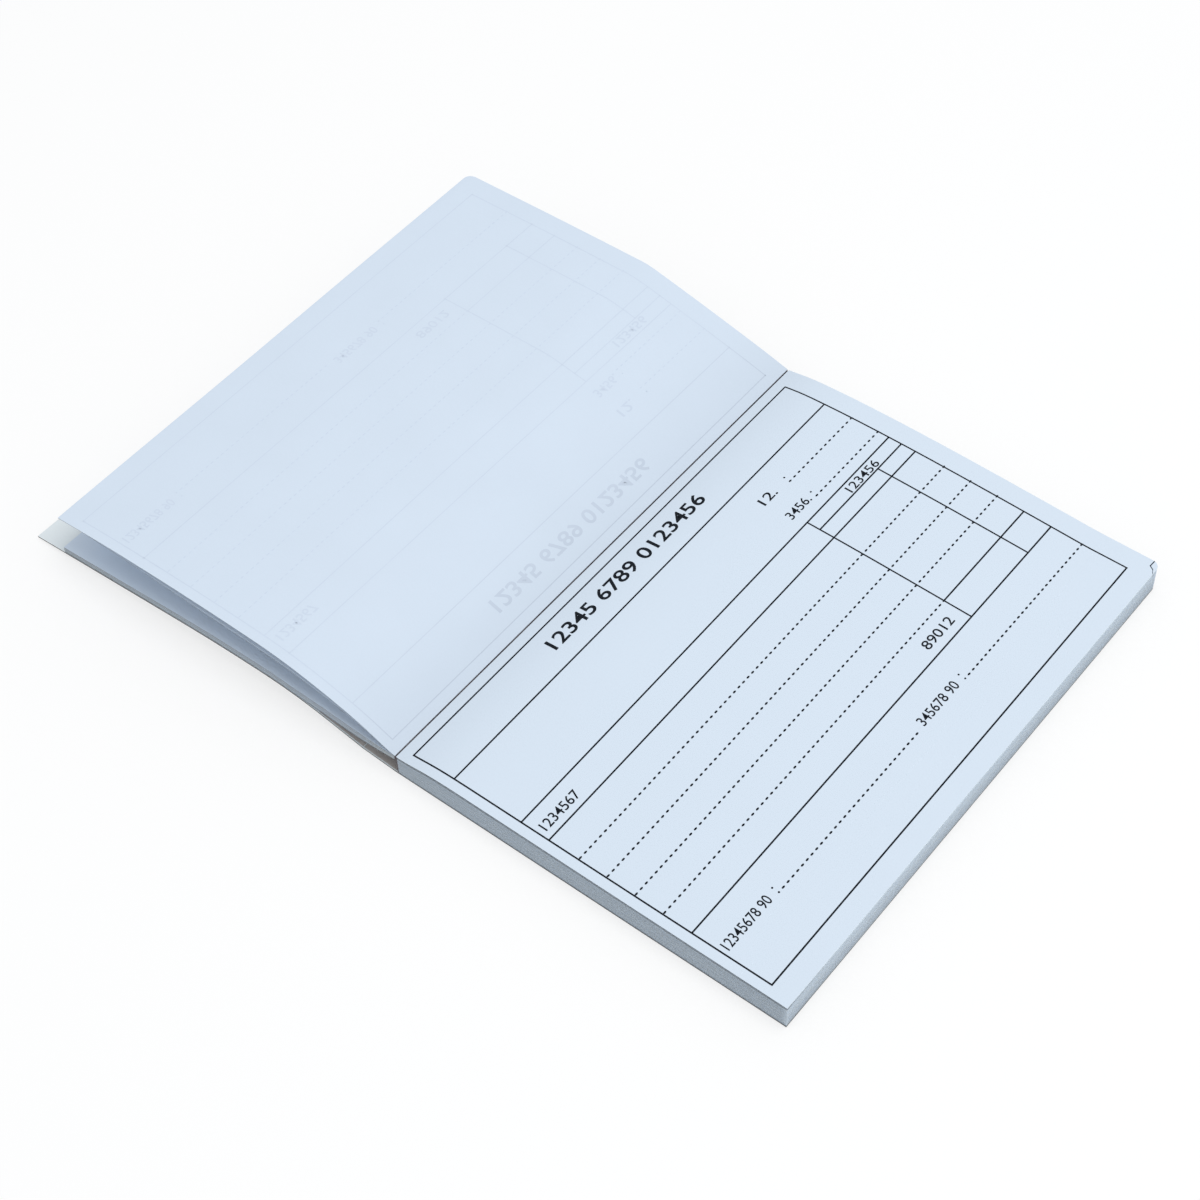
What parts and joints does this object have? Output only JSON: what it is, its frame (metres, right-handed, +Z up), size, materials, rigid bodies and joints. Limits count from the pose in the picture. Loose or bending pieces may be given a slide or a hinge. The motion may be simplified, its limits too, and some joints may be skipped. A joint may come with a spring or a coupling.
{
  "type": "voucher pad",
  "caption": "Head-bound pad of small landscape voucher forms, open at a fresh form, with used leaves turned over onto the front cover.",
  "frame": {"origin": "centre of the block on the underside of the back cover, where the pad lies on a table", "axes": "+X from the bound head to the foot of the form, +Y from the form's left to its right, +Z up out of the page"},
  "size_m": [0.2202, 0.148, 0.0184],
  "materials": {
    "cover_card": "smooth coated card",
    "glue_film": "dried padding glue",
    "top_paper": "printed bluish-white bond paper",
    "turned_paper": "blank back of the bond paper",
    "block_paper": "cut paper edges"
  },
  "bodies": {
    "block": {"back_cover": "cover_card", "block_glue_film": "glue_film", "voucher_sheaf_01": "block_paper", "voucher_sheaf_02": "block_paper", "voucher_sheaf_03": "block_paper", "voucher_sheaf_04": "block_paper", "voucher_sheaf_05": "block_paper", "voucher_sheaf_06": "block_paper", "voucher_sheaf_07": "block_paper", "voucher_sheaf_08": "block_paper", "voucher_sheaf_09": "block_paper", "voucher_sheaf_10": "block_paper", "voucher_sheaf_11": "block_paper", "voucher_sheaf_12": "block_paper", "voucher_sheaf_13": "block_paper", "voucher_sheaf_14": "block_paper", "voucher_sheaf_15": "block_paper", "voucher_sheaf_16": "block_paper", "voucher_sheaf_17": "block_paper", "voucher_sheaf_18": "block_paper", "voucher_sheaf_19": "block_paper", "voucher_sheaf_20": "block_paper", "voucher_sheaf_21": "block_paper", "voucher_sheaf_22": "block_paper", "voucher_sheaf_23": "block_paper", "voucher_sheaf_24": "block_paper"},
    "spine_panel": {"spine_strip": "cover_card"},
    "front_panel": {"front_cover": "cover_card"},
    "used_bundle": {"used_glue_film": "glue_film", "used_voucher_01": "turned_paper", "used_voucher_02": "turned_paper", "used_voucher_03": "turned_paper", "used_voucher_04": "turned_paper", "used_voucher_05": "turned_paper", "used_voucher_06": "turned_paper", "used_voucher_07": "turned_paper", "used_voucher_08": "turned_paper", "used_voucher_09": "turned_paper", "used_voucher_10": "turned_paper", "used_voucher_11": "turned_paper", "used_voucher_12": "turned_paper", "used_voucher_13": "turned_paper", "used_voucher_14": "turned_paper", "used_voucher_15": "turned_paper", "used_voucher_16": "turned_paper", "used_voucher_17": "turned_paper", "used_voucher_18": "turned_paper"},
    "second_turned_leaf": {"second_turned_voucher": "turned_paper"},
    "last_turned_leaf": {"last_turned_voucher": "turned_paper"},
    "third_leaf": {"voucher_3": "top_paper"},
    "second_leaf": {"voucher_2": "top_paper"},
    "first_leaf": {"voucher_1": "top_paper"}
  },
  "joints": [
    {"name": "close_pad", "type": "hinge", "parent": "block", "child": "used_bundle", "pos_m": [-0.05292, 0, 0.00743], "axis": [0, 1, 0], "range_deg": [0, 157]},
    {"name": "spine_crease", "type": "hinge", "parent": "block", "child": "spine_panel", "pos_m": [-0.05325, 0, 0.00015], "axis": [0, 1, 0], "range_deg": [0, 68]},
    {"name": "front_crease", "type": "hinge", "parent": "spine_panel", "child": "front_panel", "pos_m": [-0.06323, 0, 0.00092], "axis": [0, 1, 0], "range_deg": [0, 74.1]},
    {"name": "second_turned_leaf_turn", "type": "hinge", "parent": "block", "child": "second_turned_leaf", "pos_m": [-0.05292, 0, 0.00743], "axis": [0, 1, 0], "range_deg": [0, 153]},
    {"name": "last_turned_leaf_turn", "type": "hinge", "parent": "second_turned_leaf", "child": "last_turned_leaf", "pos_m": [-0.05292, 0, 0.00743], "axis": [0, -1, 0], "range_deg": [-138, 0]},
    {"name": "third_leaf_turn", "type": "hinge", "parent": "block", "child": "third_leaf", "pos_m": [-0.05292, 0, 0.00743], "axis": [0, 1, 0], "range_deg": [-4, 0]},
    {"name": "second_leaf_turn", "type": "hinge", "parent": "third_leaf", "child": "second_leaf", "pos_m": [-0.05292, 0, 0.00743], "axis": [0, 1, 0], "range_deg": [-8, 0]},
    {"name": "first_leaf_turn", "type": "hinge", "parent": "second_leaf", "child": "first_leaf", "pos_m": [-0.05292, 0, 0.00743], "axis": [0, 1, 0], "range_deg": [-136, 0]}
  ],
  "couplings": [
    {"joint": "spine_crease", "follows": "close_pad", "ratio": 0.43312},
    {"joint": "front_crease", "follows": "close_pad", "ratio": 0.47134},
    {"joint": "second_turned_leaf_turn", "follows": "close_pad", "ratio": 0.97452}
  ]
}
